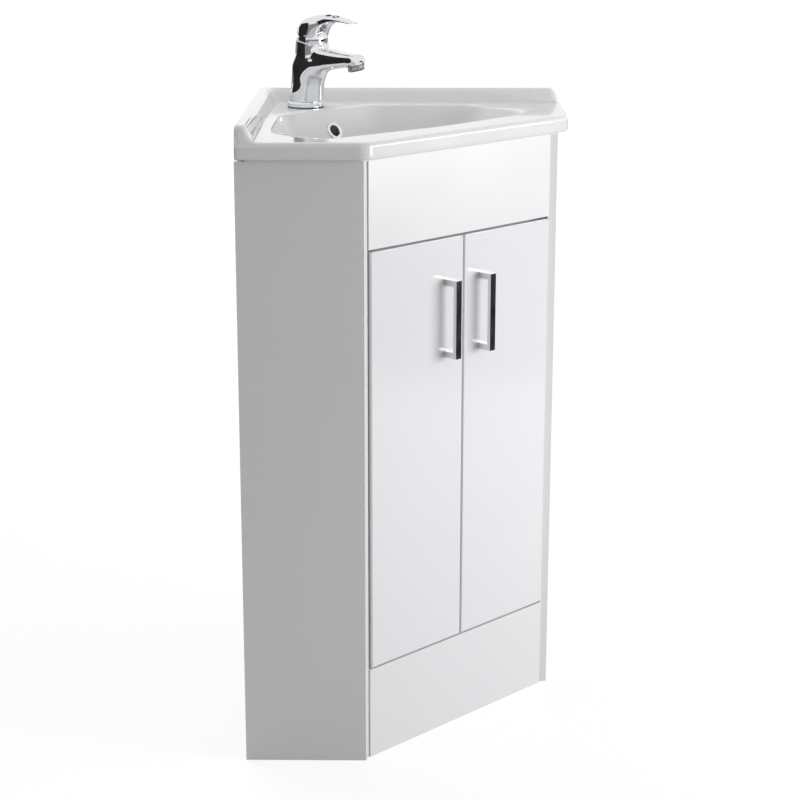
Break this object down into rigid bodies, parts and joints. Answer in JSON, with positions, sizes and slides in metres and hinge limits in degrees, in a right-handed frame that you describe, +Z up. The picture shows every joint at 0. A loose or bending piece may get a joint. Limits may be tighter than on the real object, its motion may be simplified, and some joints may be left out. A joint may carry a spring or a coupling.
{
  "type": "corner vanity unit",
  "caption": "Corner cupboard with hinged doors and chrome pull handles under a five-sided ceramic basin with an upstand, a single-lever mixer tap and a push-button waste.",
  "frame": {"origin": "on the floor, at the centre of the bounding box in plan", "axes": "+Z up, the doors face -Y, and the corner of the two walls lies at +Y on the plane X = 0"},
  "size_m": [0.6026, 0.4274, 0.9538],
  "materials": {
    "white_board": "white gloss foil on chipboard",
    "door_gloss": "white high-gloss foil on board",
    "back_board": "white satin foil on chipboard",
    "inside_board": "white satin foil on chipboard",
    "glazed_ceramic": "gloss white glaze",
    "chrome": "polished chrome plate",
    "handle_chrome": "polished chrome plate",
    "aerator_metal": "satin outlet screen",
    "hinge_steel": "nickel-plated pressed steel",
    "screw_metal": "zinc plated",
    "pin_metal": "ground steel",
    "washer_steel": "stainless steel",
    "stud_brass": "machined brass",
    "seal_rubber": "matt black rubber",
    "nut_plastic": "matt white plastic",
    "block_plastic": "matt white plastic",
    "buffer_plastic": "soft clear-grey plastic",
    "cartridge_plastic": "matt plastic",
    "index_plastic": "gloss plastic plug",
    "dowel_wood": "plain beech"
  },
  "bodies": {
    "cabinet": {"left_return_panel": "white_board", "right_return_panel": "white_board", "left_wall_panel": "back_board", "right_wall_panel": "back_board", "base_panel": "inside_board", "plinth_panel": "white_board", "fascia_panel": "white_board", "front_rail": "inside_board", "shelf": "inside_board", "shelf_pins": "pin_metal", "corner_blocks": "block_plastic", "block_screws": "screw_metal", "panel_dowels": "dowel_wood", "corner_screws": "screw_metal", "left_upper_hinge_arm": "hinge_steel", "left_lower_hinge_arm": "hinge_steel", "right_upper_hinge_arm": "hinge_steel", "right_lower_hinge_arm": "hinge_steel", "left_upper_hinge_plate": "hinge_steel", "left_lower_hinge_plate": "hinge_steel", "right_upper_hinge_plate": "hinge_steel", "right_lower_hinge_plate": "hinge_steel", "hinge_plate_screws": "screw_metal", "basin": "glazed_ceramic", "overflow_ring": "chrome", "waste_body": "chrome", "waste_seal": "seal_rubber", "waste_washer": "seal_rubber", "waste_nut": "nut_plastic", "tap_body": "chrome", "tap_base_ring": "chrome", "tap_base_seal": "seal_rubber", "tap_stud": "stud_brass", "tap_washer": "washer_steel", "tap_nut": "stud_brass", "cartridge": "cartridge_plastic", "cartridge_nut": "stud_brass", "tap_aerator": "aerator_metal"},
    "left_door": {"left_door": "door_gloss", "left_handle": "handle_chrome", "left_handle_screws": "screw_metal", "left_door_buffers": "buffer_plastic", "left_upper_hinge_cup": "hinge_steel", "left_lower_hinge_cup": "hinge_steel", "left_hinge_pins": "pin_metal", "left_cup_screws": "screw_metal"},
    "right_door": {"right_door": "door_gloss", "right_handle": "handle_chrome", "right_handle_screws": "screw_metal", "right_door_buffers": "buffer_plastic", "right_upper_hinge_cup": "hinge_steel", "right_lower_hinge_cup": "hinge_steel", "right_hinge_pins": "pin_metal", "right_cup_screws": "screw_metal"},
    "tap_carrier": {"cartridge_carrier": "cartridge_plastic", "carrier_pin": "pin_metal"},
    "tap_lever": {"tap_lever": "chrome", "cartridge_spindle": "pin_metal", "tap_index": "index_plastic"},
    "waste_plug": {"waste_plug": "chrome"}
  },
  "joints": [
    {"name": "left_door_hinge", "type": "hinge", "parent": "cabinet", "child": "left_door", "pos_m": [-0.15778, -0.18434, 0.4065], "axis": [0, 0, -1], "range_deg": [0, 95]},
    {"name": "right_door_hinge", "type": "hinge", "parent": "cabinet", "child": "right_door", "pos_m": [0.15778, -0.18434, 0.4065], "axis": [0, 0, 1], "range_deg": [0, 95]},
    {"name": "tap_turn", "type": "hinge", "parent": "cabinet", "child": "tap_carrier", "pos_m": [0, 0.11574, 0.825], "axis": [0, -0.165, 0.9863], "range_deg": [-45, 45]},
    {"name": "tap_lift", "type": "hinge", "parent": "tap_carrier", "child": "tap_lever", "pos_m": [0, 0.09989, 0.91968], "axis": [-1, 0, 0], "range_deg": [0, 20]},
    {"name": "waste_plug_push", "type": "slide", "parent": "cabinet", "child": "waste_plug", "axis": [0, 0, 1], "range_m": [0, 0.008]}
  ]
}
